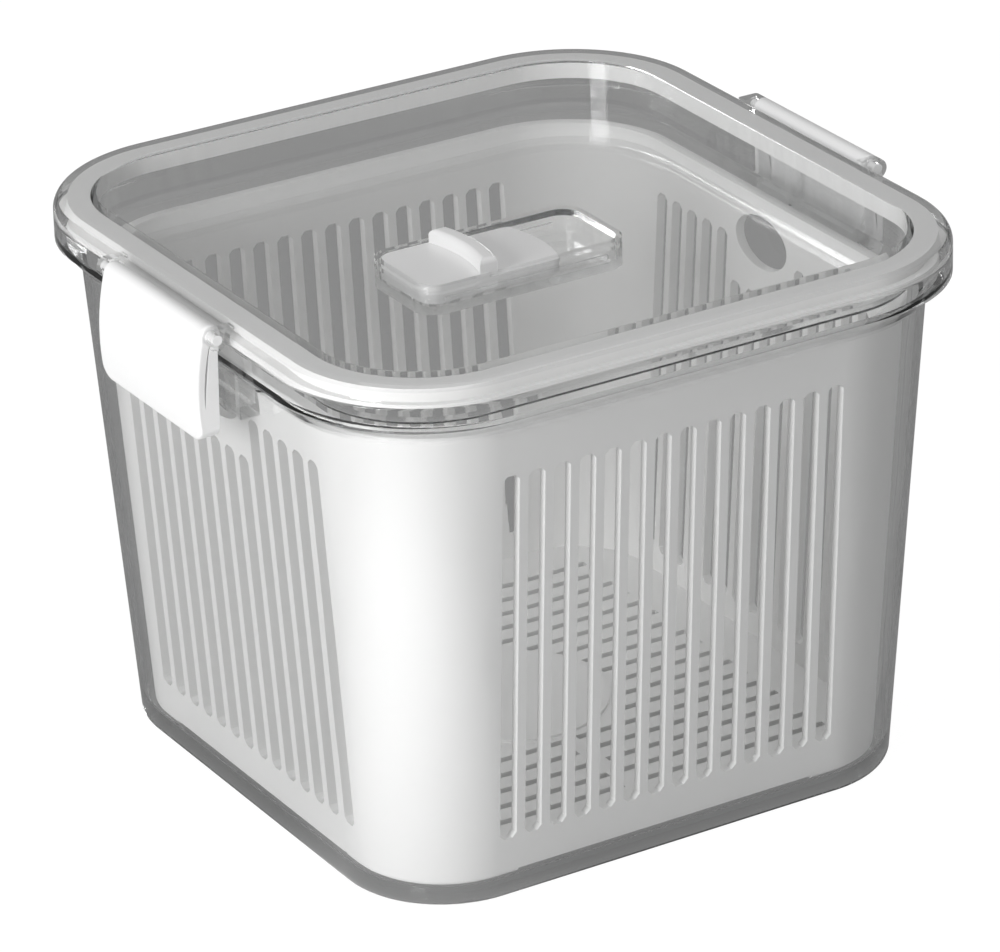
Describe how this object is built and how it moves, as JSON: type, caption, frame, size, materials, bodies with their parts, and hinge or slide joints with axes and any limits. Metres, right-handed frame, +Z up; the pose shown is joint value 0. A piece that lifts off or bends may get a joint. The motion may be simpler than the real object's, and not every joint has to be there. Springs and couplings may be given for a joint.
{
  "type": "food storage container",
  "caption": "Square clear food keeper with a white draining basket, a latched clear lid with a soft seal and a sliding air vent.",
  "frame": {"origin": "middle of the base, on the surface that the tub stands on", "axes": "+Z up; the latches are at -X and +X; -Y is the front"},
  "size_m": [0.2398, 0.2204, 0.1746],
  "materials": {
    "tub": "clear moulded plastic, faint grey",
    "basket": "satin white moulded plastic",
    "lid": "clear moulded plastic, faint grey",
    "seal": "white silicone",
    "slider": "white moulded plastic",
    "pad": "white silicone",
    "latch_left": "white moulded plastic",
    "latch_right": "white moulded plastic"
  },
  "bodies": {
    "tub": {"tub": "tub"},
    "basket": {"basket": "basket"},
    "lid": {"lid": "lid", "lid_seal": "seal"},
    "vent_slider": {"vent_slider": "slider", "vent_pad": "pad"},
    "latch_left": {"latch_left": "latch_left"},
    "latch_right": {"latch_right": "latch_right"}
  },
  "joints": [
    {"name": "lid_lift", "type": "slide", "parent": "tub", "child": "lid", "axis": [0, 0, 1], "range_m": [0, 0.22]},
    {"name": "basket_lift", "type": "slide", "parent": "tub", "child": "basket", "axis": [0, 0, 1], "range_m": [0, 0.176]},
    {"name": "latch_left_hinge", "type": "hinge", "parent": "lid", "child": "latch_left", "pos_m": [-0.11414, 0, 0.171], "axis": [0, 1, 0], "range_deg": [0, 110]},
    {"name": "latch_right_hinge", "type": "hinge", "parent": "lid", "child": "latch_right", "pos_m": [0.11414, 0, 0.171], "axis": [0, -1, 0], "range_deg": [0, 110]},
    {"name": "vent_slide", "type": "slide", "parent": "lid", "child": "vent_slider", "axis": [1, 0, 0], "range_m": [0, 0.0185]}
  ],
  "couplings": [
    {"joint": "basket_lift", "follows": "lid_lift", "ratio": 0.8}
  ]
}
